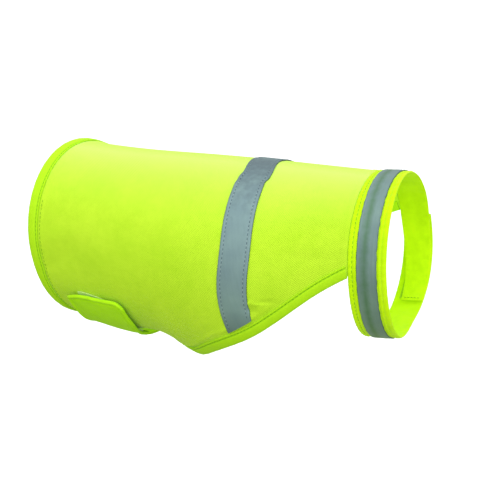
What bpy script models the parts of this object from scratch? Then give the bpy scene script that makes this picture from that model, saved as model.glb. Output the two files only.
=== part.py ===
"""Dog safety vest, closed and hollow as it is worn, with no wearer.

The garment frame has x along the back from the hem (0) to the collar, and angles round the trunk
measured from the spine: positive towards the near side (-Y), negative towards the far side (+Y).
Every piece is cut flat as a slab, then each of its points is laid on the worn form. An empty tips
the whole garment so that the neck end stands higher, and puts the origin inside the back.
"""
import math

import bmesh
import bpy
import numpy as np

# Driving dimensions, in metres and degrees

BACK_LENGTH = 0.2915
NECK_CORNER_ANGLE = 79.5
PITCH = 11.0
HELD_AT = 0.150

CLOTH_WALL = 0.0010
GAP = 0.0003
BINDING_WALL = 0.0010
BINDING_WIDTH = 0.0095
FRONT_BINDING_WIDTH = 0.0085

NEAR_WING_END = 203.0
FAR_WING_END = 214.0
FAR_WING_LIFT = 0.0046
FAR_WING_LIFT_ANGLES = (112.0, 154.0)
FAR_WING_DRIFT = 0.0200
FAR_WING_DRIFT_ANGLES = (120.0, 214.0)

TAPE_WIDTH = 0.0250
TAPE_WALL = 0.0010
TAPE_END_MARGIN = 0.0020

TAB_ROOT = (0.0220, 0.0800)
TAB_HEAD = (0.0295, 0.0915)
TAB_HEAD_ANGLE = 245.0
TAB_WALL = 0.0022
TAB_TOP_ANGLE = 257.5
TAB_CORNER = 0.0090

PATCH_WALL = 0.0010
LOOP_PATCH = {"x": (0.0415, 0.0715), "angle": (101.3, 150.0)}
HOOK_PATCH = {"x": (0.0360, 0.0780), "angle": (-252.0, -218.0)}

COLLAR_WALL = 0.0014
COLLAR_SINK = 0.0002
COLLAR_INNER_END = -155.0
COLLAR_OUTER_END = 275.6
COLLAR_STEP_ANGLE = 24.0
COLLAR_INNER_DROP = 0.0019
COLLAR_OUTER_RISE = 0.0020
COLLAR_TAPE_WIDTH = 0.0150
COLLAR_TAPE_MIDDLE = 0.0145
COLLAR_CONE = 0.0010
COLLAR_INNER_DRIFT = 0.0078
COLLAR_INNER_DRIFT_ANGLES = (85.0, 160.0)
THROAT_TUCK = 0.0040
THROAT_TUCK_ANGLE = 168.0
SKEW_ANGLE = 120.0
COLLAR_TAPE_ANGLES = (-66.0, 262.0)
COLLAR_PATCH_WALL = 0.0008
COLLAR_PATCH_WIDTH = 0.0160

HEM_FLARE = 0.0016
HEM_FLARE_REACH = 0.0130

# Rings round the trunk, at the inside of the cloth
SECTION_COLUMNS = ("x", "half_width", "half_height", "centre_height", "skew")
SECTIONS = (
    (0.0000, 0.0772, 0.0818, 0.0114, 0.0014),
    (0.0660, 0.0802, 0.0832, 0.0008, 0.0002),
    (0.1430, 0.0843, 0.0880, -0.0113, 0.0000),
    (0.2200, 0.0851, 0.0930, -0.0243, 0.0000),
    (0.2915, 0.0651, 0.0642, -0.0031, 0.0008),
)

# The cut edge of a wing, from the neck corner down to the end of the belly strap
EDGE_COLUMNS = ("x", "angle")
WING_EDGE = (
    (0.2915, 79.5),
    (0.2750, 81.4),
    (0.2460, 88.0),
    (0.2120, 98.5),
    (0.1930, 105.6),
    (0.1660, 120.0),
    (0.1440, 133.5),
    (0.1180, 143.0),
    (0.0940, 155.0),
    (0.0740, 170.0),
    (0.0630, 188.0),
    (0.0600, 205.0),
    (0.0600, 225.0),
)

# Soft swells and hollows of the worn cloth, the same on both sides
FOLD_COLUMNS = ("x", "angle", "reach_x", "reach_angle", "height")
FOLDS = (
    (0.104, 152.0, 0.026, 30.0, -0.0045),
    (0.100, 176.0, 0.032, 24.0, -0.0060),
    (0.148, 138.0, 0.030, 20.0, 0.0026),
    (0.040, 84.0, 0.030, 12.0, -0.0012),
    (0.024, 160.0, 0.036, 24.0, -0.0034),
)

# The middle line of the tape on the body, from the far front edge over the spine to the near one
TAPE_COLUMNS = ("angle", "x")
TAPE_LINE = (
    (-100.0, 0.2078),
    (-82.0, 0.2036),
    (-70.0, 0.2020),
    (-58.0, 0.2008),
    (-45.0, 0.1998),
    (-30.0, 0.1990),
    (-20.0, 0.1988),
    (-10.0, 0.1999),
    (0.0, 0.2020),
    (6.0, 0.2036),
    (11.0, 0.2041),
    (15.5, 0.2031),
    (20.0, 0.2034),
    (30.0, 0.2043),
    (45.0, 0.2053),
    (58.0, 0.2056),
    (70.0, 0.2041),
    (82.0, 0.2038),
    (100.0, 0.2078),
)

# How wide the collar band is, widest at the near side of the throat
BAND_COLUMNS = ("angle", "width")
BAND = (
    (-155.0, 0.0190),
    (-120.0, 0.0224),
    (-85.0, 0.0248),
    (-45.0, 0.0256),
    (-10.0, 0.0265),
    (35.0, 0.0285),
    (90.0, 0.0290),
    (145.0, 0.0285),
    (185.0, 0.0256),
    (220.0, 0.0262),
    (250.0, 0.0258),
    (276.0, 0.0252),
)

# Mesh steps
BACK_COLUMNS = 26
WING_COLUMNS = 34
PANEL_ROWS = 14
ROW_CROWDING = 0.5
RING_STEP = 6.0
EDGE_STEPS = 44

COLOURS = {
    "cloth": ((0.55, 0.87, 0.06), 0.85),
    "binding": ((0.45, 0.80, 0.03), 0.80),
    "tape": ((0.30, 0.38, 0.40), 0.45),
    "patch": ((0.74, 0.80, 0.62), 0.90),
}


def column(rows, names, name):
    """One named column of a table."""
    return [row[names.index(name)] for row in rows]


def natural_spline(xs, ys):
    """A smooth curve y(x) through the points, straight at both ends."""
    xs = np.asarray(xs, float)
    ys = np.asarray(ys, float)
    count = len(xs)
    steps = np.diff(xs)
    slopes = np.diff(ys) / steps
    matrix = np.eye(count)
    right = np.zeros(count)
    for i in range(1, count - 1):
        matrix[i, i - 1] = steps[i - 1]
        matrix[i, i] = 2.0 * (steps[i - 1] + steps[i])
        matrix[i, i + 1] = steps[i]
        right[i] = 6.0 * (slopes[i] - slopes[i - 1])
    bends = np.linalg.solve(matrix, right)

    def curve(x):
        i = int(np.clip(np.searchsorted(xs, x) - 1, 0, count - 2))
        h = steps[i]
        a = (xs[i + 1] - x) / h
        b = (x - xs[i]) / h
        bend = ((a ** 3 - a) * bends[i] + (b ** 3 - b) * bends[i + 1]) * h * h / 6.0
        return a * ys[i] + b * ys[i + 1] + bend

    return curve


def ease(value, start, stop):
    """0 before start, 1 after stop, smooth between."""
    t = min(max((value - start) / (stop - start), 0.0), 1.0)
    return t * t * (3.0 - 2.0 * t)


SECTION_X = column(SECTIONS, SECTION_COLUMNS, "x")
half_width = natural_spline(SECTION_X, column(SECTIONS, SECTION_COLUMNS, "half_width"))
half_height = natural_spline(SECTION_X, column(SECTIONS, SECTION_COLUMNS, "half_height"))
centre_height = natural_spline(SECTION_X, column(SECTIONS, SECTION_COLUMNS, "centre_height"))
skew = natural_spline(SECTION_X, column(SECTIONS, SECTION_COLUMNS, "skew"))


def fold_height(x, angle):
    """How far the folds move the cloth out or in, the same for every layer at that place."""
    top = max(math.cos(math.radians(angle)), 0.0)
    total = HEM_FLARE * top * math.exp(-(x / HEM_FLARE_REACH) ** 2)
    for fold in FOLDS:
        place = dict(zip(FOLD_COLUMNS, fold))
        for side in (1.0, -1.0):
            turn = (angle - side * place["angle"] + 180.0) % 360.0 - 180.0
            along = (x - place["x"]) / place["reach_x"]
            round_it = turn / place["reach_angle"]
            total += place["height"] * math.exp(-along ** 2 - round_it ** 2)
    return total + skew(x) * math.cos(2.0 * math.radians(angle - SKEW_ANGLE))


def form_point(x, angle):
    """A point on the inside of the worn cloth."""
    ring_x = min(x, BACK_LENGTH)
    fold = fold_height(x, angle)
    turn = math.radians(angle)
    across = -(half_width(ring_x) + fold) * math.sin(turn)
    up = centre_height(ring_x) + (half_height(ring_x) + fold) * math.cos(turn)
    return np.array((x, across, up))


def form_frame(x, angle):
    """Point, outward direction and length of one degree at a place on the form."""
    small_x = 0.0005
    small_angle = 0.25
    along = form_point(x + small_x, angle) - form_point(x - small_x, angle)
    around = form_point(x, angle + small_angle) - form_point(x, angle - small_angle)
    outward = np.cross(around, along)
    outward /= np.linalg.norm(outward)
    return form_point(x, angle), outward, np.linalg.norm(around) / (2.0 * small_angle)


def far_lift(angle):
    """The far wing passes outside the near wing under the belly."""
    return FAR_WING_LIFT * ease(-angle, *FAR_WING_LIFT_ANGLES)


def far_drift(angle):
    """The far wing is fastened a little further forward than the near one."""
    return FAR_WING_DRIFT * ease(-angle, *FAR_WING_DRIFT_ANGLES)


def body_point(x, angle, height):
    """A point at a height over the inside of the body cloth."""
    point, outward, _ = form_frame(x, angle)
    return point + outward * (height + far_lift(angle))


def wing_edge_curve():
    """The cut edge as a smooth curve along its own length: t from 0 to 1 gives x and angle."""
    xs = column(WING_EDGE, EDGE_COLUMNS, "x")
    angles = column(WING_EDGE, EDGE_COLUMNS, "angle")
    lengths = [0.0]
    for i in range(1, len(xs)):
        degree = math.radians(half_width(xs[i]))
        lengths.append(lengths[-1] + math.hypot(xs[i] - xs[i - 1], (angles[i] - angles[i - 1]) * degree))
    parts = [length / lengths[-1] for length in lengths]
    return natural_spline(parts, xs), natural_spline(parts, angles)


edge_x, edge_angle = wing_edge_curve()


def edge_part_at(angle):
    """Where along the cut edge an angle is reached."""
    low = 0.0
    high = 1.0
    for _ in range(50):
        middle = (low + high) / 2.0
        if edge_angle(middle) < angle:
            low = middle
        else:
            high = middle
    return (low + high) / 2.0


def front_limit(angle):
    """How far forward the body cloth reaches at an angle."""
    if abs(angle) <= NECK_CORNER_ANGLE:
        return BACK_LENGTH
    return edge_x(edge_part_at(abs(angle))) + far_drift(angle)


def new_object(name, mesh, kind, smooth_angle=40.0):
    """An object with its own material, carried by the garment's empty."""
    colour, roughness = COLOURS[kind]
    material = bpy.data.materials.new(name)
    material.use_nodes = True
    shader = material.node_tree.nodes["Principled BSDF"]
    shader.inputs["Base Color"].default_value = (*colour, 1.0)
    shader.inputs["Roughness"].default_value = roughness
    shader.inputs["Metallic"].default_value = 0.0
    mesh.materials.append(material)
    mesh.shade_smooth()
    mesh.set_sharp_from_angle(angle=math.radians(smooth_angle))
    piece = bpy.data.objects.new(name, mesh)
    bpy.context.collection.objects.link(piece)
    piece.parent = garment
    return piece


def finish_mesh(name, shape):
    """Turn the finished bmesh into a mesh with its faces pointing out."""
    bmesh.ops.recalc_face_normals(shape, faces=shape.faces)
    if shape.calc_volume(signed=True) < 0.0:
        bmesh.ops.reverse_faces(shape, faces=shape.faces)
    mesh = bpy.data.meshes.new(name)
    shape.to_mesh(mesh)
    shape.free()
    return mesh


def cut_slab(columns, rows):
    """A flat slab: u and v from 0 to 1, and z from 0 (inside) to 1 (outside)."""
    slab = bmesh.new()
    bmesh.ops.create_grid(slab, x_segments=columns, y_segments=rows, size=0.5)
    bmesh.ops.translate(slab, vec=(0.5, 0.5, 0.0), verts=slab.verts)
    bottom = slab.faces[:]
    top = bmesh.ops.extrude_face_region(slab, geom=bottom, use_keep_orig=True)["geom"]
    lifted = [part for part in top if isinstance(part, bmesh.types.BMVert)]
    bmesh.ops.translate(slab, vec=(0.0, 0.0, 1.0), verts=lifted)
    return slab


def laid_slab(name, kind, columns, rows, place):
    """Cut a slab and lay each point where place(u, v, z) puts it."""
    slab = cut_slab(columns, rows)
    for vertex in slab.verts:
        vertex.co = place(*vertex.co)
    return new_object(name, finish_mesh(name, slab), kind)


def laid_strip(name, kind, profile, steps, place):
    """Sweep a closed profile of (across, height) points and lay it with place(t, across, height)."""
    strip = bmesh.new()
    corners = [strip.verts.new((0.0, across, height)) for across, height in profile]
    cap = strip.faces.new(corners)
    bmesh.ops.spin(strip, geom=[cap, *cap.edges, *cap.verts], axis=(0.0, 0.0, 1.0), cent=(0.0, 0.0, 0.0),
                   dvec=(1.0 / steps, 0.0, 0.0), angle=0.0, steps=steps, use_duplicate=False)
    for vertex in strip.verts:
        vertex.co = place(*vertex.co)
    return new_object(name, finish_mesh(name, strip), kind)


def binding_profile(width):
    """A folded tape seen end on: two legs over the cloth's edge, joined by the fold."""
    outside = CLOTH_WALL + GAP
    outer = outside + BINDING_WALL
    inside = -GAP
    inner = inside - BINDING_WALL
    fold = -GAP - BINDING_WALL
    soft = 0.4 * BINDING_WALL
    half = width / 2.0
    return (
        (width, outside), (width, outer), (half, outer), (fold + soft, outer), (fold, outer - soft),
        (fold, inner + soft), (fold + soft, inner), (half, inner), (width, inner), (width, inside),
        (half, inside), (-GAP, inside), (-GAP, outside), (half, outside),
    )


def body_panel():
    """The back and both wings, cut in one piece."""
    wing_parts = [i / WING_COLUMNS for i in range(1, WING_COLUMNS + 1)]
    near_stop = edge_part_at(NEAR_WING_END)
    far_stop = edge_part_at(FAR_WING_END)
    near = [edge_angle(part * near_stop) for part in wing_parts]
    far = [-edge_angle(part * far_stop) for part in reversed(wing_parts)]
    step = 2.0 * NECK_CORNER_ANGLE / BACK_COLUMNS
    back = [-NECK_CORNER_ANGLE + step * i for i in range(BACK_COLUMNS + 1)]
    angles = far + back + near
    columns = len(angles) - 1

    def place(u, v, z):
        angle = angles[round(u * columns)]
        drift = far_drift(angle)
        reach = v + ROW_CROWDING * v * (1.0 - v)
        x = drift + (front_limit(angle) - drift) * reach
        return body_point(x, angle, z * CLOTH_WALL)

    laid_slab("body_panel", "cloth", columns, PANEL_ROWS, place)


def hem_binding():
    """Folded tape along the hem, from one wing end to the other."""
    steps = round((NEAR_WING_END + FAR_WING_END) / RING_STEP)

    def place(t, across, height):
        angle = -FAR_WING_END + t * (NEAR_WING_END + FAR_WING_END)
        return body_point(far_drift(angle) + across, angle, height)

    laid_strip("hem_binding", "binding", binding_profile(BINDING_WIDTH), steps, place)


def front_binding(name, side, wing_end):
    """Folded tape along a wing's cut edge, from the neck corner to the end of the wing."""
    start = 0.0015
    stop = edge_part_at(wing_end)

    def edge_place(part):
        angle = edge_angle(part)
        return edge_x(part) + far_drift(side * angle), angle

    def place(t, across, height):
        part = start + t * (stop - start)
        small = 0.002
        x, angle = edge_place(part)
        x_before, angle_before = edge_place(part - small)
        x_after, angle_after = edge_place(part + small)
        degree = form_frame(x, side * angle)[2]
        along_x = x_after - x_before
        along_round = (angle_after - angle_before) * degree
        length = math.hypot(along_x, along_round)
        inward_x = -along_round / length
        inward_round = along_x / length
        return body_point(x + across * inward_x, side * (angle + across * inward_round / degree), height)

    laid_strip(name, "binding", binding_profile(FRONT_BINDING_WIDTH), EDGE_STEPS, place)


def tape_middle():
    return natural_spline(column(TAPE_LINE, TAPE_COLUMNS, "angle"), column(TAPE_LINE, TAPE_COLUMNS, "x"))


def body_reflective_tape():
    """Grey tape sewn across the back, each end cut along the binding of the front edge."""
    middle = tape_middle()
    base = CLOTH_WALL + GAP

    def tape_end(x):
        low = 86.0
        high = 130.0
        clear = FRONT_BINDING_WIDTH + TAPE_END_MARGIN
        for _ in range(40):
            angle = (low + high) / 2.0
            degree = form_frame(x, angle)[2]
            here = edge_part_at(angle)
            small = 0.002
            slope_x = edge_x(here + small) - edge_x(here - small)
            slope_round = (edge_angle(here + small) - edge_angle(here - small)) * degree
            distance = (edge_x(here) - x) * slope_round / math.hypot(slope_x, slope_round)
            if distance > clear:
                low = angle
            else:
                high = angle
        return low

    columns = 36
    lanes = 3
    ends = [tape_end(middle(90.0) + TAPE_WIDTH * (lane / lanes - 0.5)) for lane in range(lanes + 1)]

    def place(u, v, z):
        end = ends[round(v * lanes)]
        angle = end * (2.0 * u - 1.0)
        x = middle(angle) + TAPE_WIDTH * (v - 0.5)
        return body_point(x, angle, base + z * TAPE_WALL)

    laid_slab("body_reflective_tape", "tape", columns, lanes, place)


def tab_top_angle(part):
    """The free edge of the tab: it falls away at the hem side and has a round corner in front."""
    side = 2.0 * part - 1.0
    drop = 4.5 * max(-side, 0.0) ** 2.2 - 1.6 * max(side, 0.0)
    length = TAB_HEAD[1] - TAB_HEAD[0]
    corner = max(part * length - (length - TAB_CORNER), 0.0) / TAB_CORNER
    drop += 6.5 * (1.0 - math.sqrt(max(1.0 - corner ** 2, 0.0)))
    return TAB_TOP_ANGLE - drop


def belly_tab():
    """Doubled cloth tab at the end of the far wing, fastened on the near side."""
    start = FAR_WING_END + 0.25
    lanes = 12
    parts = [math.sin(0.5 * math.pi * i / lanes) ** 0.9 for i in range(lanes + 1)]
    low = -0.5 * (TAB_WALL - CLOTH_WALL)

    def place(u, v, z):
        part = parts[round(v * lanes)]
        turn = start + u * (tab_top_angle(part) - start)
        slant = ease(turn, start, TAB_HEAD_ANGLE)
        hem_side = TAB_ROOT[0] + (TAB_HEAD[0] - TAB_ROOT[0]) * slant
        front_side = TAB_ROOT[1] + (TAB_HEAD[1] - TAB_ROOT[1]) * slant
        return body_point(hem_side + part * (front_side - hem_side), -turn, low + z * TAB_WALL)

    laid_slab("belly_tab", "cloth", 9, lanes, place)


def patch(name, spot, height, wall):
    """A rectangle of hook or loop tape laid on the form at a height."""
    columns = max(4, round(abs(spot["angle"][1] - spot["angle"][0]) / RING_STEP))

    def place(u, v, z):
        angle = spot["angle"][0] + u * (spot["angle"][1] - spot["angle"][0])
        x = spot["x"][0] + v * (spot["x"][1] - spot["x"][0])
        point, outward, _ = form_frame(x, angle)
        return point + outward * (height + z * wall)

    laid_slab(name, "patch", columns, 3, place)


def collar_height(angle):
    """The two ends of the collar lap on the far side: one goes in a little, the other out."""
    lap_start = COLLAR_OUTER_END - 360.0
    inner = ease(-angle, -lap_start - COLLAR_STEP_ANGLE, -lap_start)
    outer = ease(angle, COLLAR_INNER_END + 360.0 - COLLAR_STEP_ANGLE, COLLAR_INNER_END + 360.0)
    return COLLAR_OUTER_RISE * outer - COLLAR_INNER_DROP * inner


collar_width = natural_spline(column(BAND, BAND_COLUMNS, "angle"), column(BAND, BAND_COLUMNS, "width"))


def collar_point(across, angle, height):
    """A point on the collar: across from its back edge, height over its inside."""
    point, outward, _ = form_frame(BACK_LENGTH, angle)
    outward = np.array((0.0, outward[1], outward[2])) / math.hypot(outward[1], outward[2])
    tuck = THROAT_TUCK * max(math.cos(math.radians(angle - THROAT_TUCK_ANGLE)), 0.0) ** 2
    drift = COLLAR_INNER_DRIFT * ease(-angle, *COLLAR_INNER_DRIFT_ANGLES)
    base = np.array((BACK_LENGTH + GAP + across - tuck + drift, point[1], point[2]))
    cone = COLLAR_CONE * across / collar_width(angle)
    return base + outward * (height + collar_height(angle) - COLLAR_SINK - cone)


def collar_slab(name, kind, span, width, middle, heights, rows=2):
    """A strip of the collar: span in angle, width and middle across it, heights from and to."""
    columns = round(abs(span[1] - span[0]) / RING_STEP)

    def place(u, v, z):
        angle = span[0] + u * (span[1] - span[0])
        across = middle(angle) + width(angle) * (v - 0.5)
        return collar_point(across, angle, heights[0] + z * (heights[1] - heights[0]))

    laid_slab(name, kind, columns, rows, place)


def collar():
    """Band, tape and fastening of the collar."""
    def middle(angle):
        return collar_width(angle) / 2.0

    def tape_middle_line(angle):
        return min(COLLAR_TAPE_MIDDLE, middle(angle))

    outside = COLLAR_WALL + GAP
    collar_slab("collar_band", "cloth", (COLLAR_INNER_END, COLLAR_OUTER_END), collar_width, middle,
                (0.0, COLLAR_WALL))
    collar_slab("collar_reflective_tape", "tape", COLLAR_TAPE_ANGLES, lambda angle: COLLAR_TAPE_WIDTH,
                tape_middle_line, (outside, outside + TAPE_WALL))
    lap_start = COLLAR_OUTER_END - 360.0
    collar_slab("collar_loop_patch", "patch", (COLLAR_INNER_END + 3.0, lap_start - 1.0),
                lambda angle: COLLAR_PATCH_WIDTH, middle, (outside, outside + COLLAR_PATCH_WALL))
    collar_slab("collar_hook_patch", "patch", (COLLAR_INNER_END + 363.0, COLLAR_OUTER_END - 3.0),
                lambda angle: COLLAR_PATCH_WIDTH, middle, (-GAP - COLLAR_PATCH_WALL, -GAP))


def garment_pose():
    """The empty that tips the garment and puts the origin inside the back, under the spine."""
    pose = bpy.data.objects.new("garment_pose", None)
    bpy.context.collection.objects.link(pose)
    pose.rotation_euler = (0.0, -math.radians(PITCH), 0.0)
    held = form_point(HELD_AT, 0.0)
    lean = math.radians(PITCH)
    pose.location = (
        -(held[0] * math.cos(lean) - held[2] * math.sin(lean)),
        0.0,
        -(held[0] * math.sin(lean) + held[2] * math.cos(lean)),
    )
    return pose


for old in list(bpy.data.objects):
    bpy.data.objects.remove(old, do_unlink=True)

garment = garment_pose()
body_panel()
hem_binding()
front_binding("front_binding_near", 1.0, NEAR_WING_END)
front_binding("front_binding_far", -1.0, FAR_WING_END)
body_reflective_tape()
belly_tab()
patch("belly_loop_patch", LOOP_PATCH, CLOTH_WALL + GAP, PATCH_WALL)
patch("belly_hook_patch", HOOK_PATCH, CLOTH_WALL + 2.0 * GAP + PATCH_WALL, PATCH_WALL)
collar()
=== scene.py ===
"""Dog safety vest, hollow as it is worn: the looks of every cut and sewn piece, built round the CAD frame.

Lengths are metres and angles degrees. The garment's own frame has x along the back from the hem to the
collar and angles round the trunk from the spine, positive on the near side and negative on the far side.
"""
import math

import bmesh
import bpy
import numpy as np
from mathutils import Matrix, Vector


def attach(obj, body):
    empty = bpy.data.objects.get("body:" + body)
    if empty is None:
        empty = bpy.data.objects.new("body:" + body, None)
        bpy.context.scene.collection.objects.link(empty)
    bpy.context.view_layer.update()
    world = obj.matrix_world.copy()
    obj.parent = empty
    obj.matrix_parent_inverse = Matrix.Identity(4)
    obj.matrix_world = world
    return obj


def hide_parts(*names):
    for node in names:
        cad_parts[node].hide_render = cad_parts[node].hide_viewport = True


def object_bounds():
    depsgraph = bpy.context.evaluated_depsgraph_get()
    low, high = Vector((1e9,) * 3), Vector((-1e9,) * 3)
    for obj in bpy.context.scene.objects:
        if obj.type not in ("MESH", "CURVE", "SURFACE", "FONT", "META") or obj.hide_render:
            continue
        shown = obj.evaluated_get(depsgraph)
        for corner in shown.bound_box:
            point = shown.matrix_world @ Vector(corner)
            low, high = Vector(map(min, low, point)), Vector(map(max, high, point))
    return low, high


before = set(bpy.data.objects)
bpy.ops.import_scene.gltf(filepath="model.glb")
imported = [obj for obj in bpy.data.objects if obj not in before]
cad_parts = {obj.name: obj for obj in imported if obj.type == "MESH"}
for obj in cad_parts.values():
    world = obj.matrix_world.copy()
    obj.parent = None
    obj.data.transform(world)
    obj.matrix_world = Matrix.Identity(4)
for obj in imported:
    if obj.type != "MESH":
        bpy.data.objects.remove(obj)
cad_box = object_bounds()
scene = bpy.context.scene

# Camera: the photograph's view, from the front left and above, close enough for the collar to open
# towards it. The distance and the lens are those worked out for the solids.
CAMERA_AZIMUTH = 26.727
CAMERA_ELEVATION = 28.225
CAMERA_DISTANCE = 0.6722
CAMERA_TARGET = Vector((0.0402, 0.0, -0.0740))
CAMERA_LENS_MM = 55.69
CAMERA_SENSOR_MM = 36.0
CAMERA_NEAREST = 0.01

turn, lift = math.radians(CAMERA_AZIMUTH), math.radians(CAMERA_ELEVATION)
towards_camera = Vector((math.sin(turn) * math.cos(lift), -math.cos(turn) * math.cos(lift), math.sin(lift)))
camera = bpy.data.objects.new("camera", bpy.data.cameras.new("camera"))
camera.data.lens = CAMERA_LENS_MM
camera.data.sensor_width = CAMERA_SENSOR_MM
camera.data.clip_start = CAMERA_NEAREST
camera.location = CAMERA_TARGET + towards_camera * CAMERA_DISTANCE
camera.rotation_euler = (-towards_camera).to_track_quat("-Z", "Y").to_euler()
scene.collection.objects.link(camera)
scene.camera = camera

# Room: a plain white floor 150 mm under the garment, and a white sky, brightest overhead as under a wide
# soft box and a little yellow-green below. One soft lamp lights the near side and one the inside of the
# collar. The floor throws no light back. The colours are shown as they are, without a film look.
FLOOR_DROP = 0.150
FLOOR_SIZE = 80.0
FLOOR_WHITE = 0.86
FLOOR_ROUGHNESS = 0.9
SKY_LOW = 0.56
SKY_HIGH = 2.35
SKY_GATHERING = 1.5
SKY_WHITE = (1.00, 1.00, 1.00)
SKY_BELOW_TINT = (0.86, 1.00, 0.36)
SKY_TINT_HEIGHTS = (-0.35, -0.02)
LAMPS = (  # name, place, size, watts
    ("near_lamp", (0.95, -2.1, 1.15), 1.2, 8.5),
    ("neck_lamp", (2.00, -1.30, 0.45), 1.0, 7.0),
)


def add_node(tree, kind, inputs=(), **settings):
    """A new shader node, each of its inputs a number, a colour or another node's output."""
    made = tree.nodes.new(kind)
    for setting, value in settings.items():
        setattr(made, setting, value)
    for place, value in dict(inputs).items():
        socket = made.inputs[place]
        if isinstance(value, bpy.types.NodeSocket):
            tree.links.new(value, socket)
        else:
            socket.default_value = (*value, 1.0) if socket.type == "RGBA" else value
    return made


scene.view_settings.view_transform = "Standard"
sky = bpy.data.worlds.new("sky")
sky.use_nodes = True
sky_tree = sky.node_tree
sky_way = add_node(sky_tree, "ShaderNodeTexCoord").outputs["Generated"]
sky_height = add_node(sky_tree, "ShaderNodeSeparateXYZ", {0: sky_way}).outputs["Z"]
sky_above = add_node(sky_tree, "ShaderNodeClamp", {0: sky_height}).outputs[0]
sky_rise = add_node(sky_tree, "ShaderNodeMath", {0: sky_above, 1: SKY_GATHERING},
                    operation="POWER").outputs[0]
sky_strength = add_node(sky_tree, "ShaderNodeMath", {0: sky_rise, 1: SKY_HIGH - SKY_LOW, 2: SKY_LOW},
                        operation="MULTIPLY_ADD").outputs[0]
sky_whiteness = add_node(sky_tree, "ShaderNodeMapRange", {
    "Value": sky_height, "From Min": SKY_TINT_HEIGHTS[0], "From Max": SKY_TINT_HEIGHTS[1]}).outputs[0]
sky_colour = add_node(sky_tree, "ShaderNodeMix", {0: sky_whiteness, 6: SKY_BELOW_TINT, 7: SKY_WHITE},
                      data_type="RGBA").outputs[2]
sky_tree.links.new(sky_colour, sky_tree.nodes["Background"].inputs["Color"])
sky_tree.links.new(sky_strength, sky_tree.nodes["Background"].inputs["Strength"])
scene.world = sky
for lamp_name, lamp_place, lamp_size, lamp_watts in LAMPS:
    light = bpy.data.lights.new(lamp_name, "AREA")
    light.size = lamp_size
    light.energy = lamp_watts
    lamp = bpy.data.objects.new(lamp_name, light)
    lamp.location = lamp_place
    lamp.rotation_euler = (CAMERA_TARGET - lamp.location).to_track_quat("-Z", "Y").to_euler()
    scene.collection.objects.link(lamp)

floor_shape = bmesh.new()
bmesh.ops.create_grid(floor_shape, x_segments=1, y_segments=1, size=FLOOR_SIZE / 2.0)
bmesh.ops.translate(floor_shape, vec=(0.0, 0.0, cad_box[0].z - FLOOR_DROP), verts=floor_shape.verts)
floor = bpy.data.objects.new("floor", bpy.data.meshes.new("floor"))
floor_shape.to_mesh(floor.data)
floor_shape.free()
scene.collection.objects.link(floor)
floor_paint = bpy.data.materials.new("floor_white")
floor_paint.use_nodes = True
floor_surface = floor_paint.node_tree.nodes["Principled BSDF"]
floor_surface.inputs["Base Color"].default_value = (FLOOR_WHITE, FLOOR_WHITE, FLOOR_WHITE, 1.0)
floor_surface.inputs["Roughness"].default_value = FLOOR_ROUGHNESS
floor.data.materials.append(floor_paint)
floor.visible_diffuse = False
floor.visible_glossy = False
floor.visible_shadow = False

# Body cloth: the back and both belly wings in one cut of fluorescent knit, wrapped round the trunk. Each
# point lies on the worn form, with the small troughs and ridges that the seams draw into the cloth.
BACK_LENGTH = 0.2915
NECK_CORNER_ANGLE = 79.5
PITCH = math.radians(11.0)
HELD_AT = 0.150
CLOTH_WALL = 0.0010
GAP = 0.0003
NEAR_WING_END = 203.0
FAR_WING_END = 214.0
FAR_WING_LIFT = 0.0046
FAR_WING_LIFT_ANGLES = (112.0, 154.0)
FAR_WING_DRIFT = 0.0200
FAR_WING_DRIFT_ANGLES = (120.0, 214.0)
HEM_FLARE = 0.0016
HEM_FLARE_REACH = 0.0130
SKEW_ANGLE = 120.0
SECTIONS = (  # x, half width, half height, height of the centre, skew
    (0.0000, 0.0772, 0.0818, 0.0114, 0.0014),
    (0.0660, 0.0802, 0.0832, 0.0008, 0.0002),
    (0.1430, 0.0843, 0.0880, -0.0113, 0.0000),
    (0.2200, 0.0851, 0.0930, -0.0243, 0.0000),
    (0.2915, 0.0651, 0.0642, -0.0031, 0.0008),
)
WING_EDGE = (  # x, angle
    (0.2915, 79.5), (0.2750, 81.4), (0.2460, 88.0), (0.2120, 98.5), (0.1930, 105.6), (0.1660, 120.0),
    (0.1440, 133.5), (0.1180, 143.0), (0.0940, 155.0), (0.0740, 170.0), (0.0630, 188.0), (0.0600, 205.0),
    (0.0600, 225.0),
)
FOLDS = (  # x, angle, reach along, reach round in degrees, height; the same on both sides
    (0.104, 152.0, 0.026, 30.0, -0.0045),
    (0.100, 176.0, 0.032, 24.0, -0.0060),
    (0.148, 138.0, 0.030, 20.0, 0.0026),
    (0.040, 84.0, 0.030, 12.0, -0.0012),
    (0.024, 160.0, 0.036, 24.0, -0.0034),
)
CREASES = (  # x, angle, half length, half width, slant, height; a positive slant climbs forwards
    (0.192, 16.5, 0.0070, 0.0030, 25.0, -0.0009),
    (0.216, 14.0, 0.0070, 0.0030, -30.0, -0.0009),
    (0.184, 46.0, 0.0120, 0.0060, 60.0, 0.0005),
    (0.226, 66.0, 0.030, 0.006, 85.0, -0.0005),
    (0.218, 84.0, 0.0050, 0.0026, 20.0, -0.0010),
    (0.020, 88.0, 0.018, 0.005, -35.0, -0.0007),
    (0.046, 74.0, 0.016, 0.011, -35.0, -0.0008),
    (0.030, 70.0, 0.026, 0.007, -20.0, 0.0005),
    (0.268, 40.0, 0.020, 0.006, 10.0, 0.0005),
    (0.262, 62.0, 0.022, 0.005, 15.0, -0.0005),
)
METRES_PER_DEGREE = 0.00147
STEP_ALONG = 0.0005
STEP_ROUND = 0.25
EDGE_POINTS = 2001
EDGE_STEP = 0.002
RIPPLES = ((0.5, 1.0, 0.0), (0.3, 0.63, 1.3), (0.2, 1.41, 0.7))  # share, quickness, shift
SEAM_RIDGE = 0.00060
SEAM_RIDGE_AWAY = 0.0024
SEAM_RIDGE_REACH = 0.0016
SEAM_PUCKER = 0.45
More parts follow.
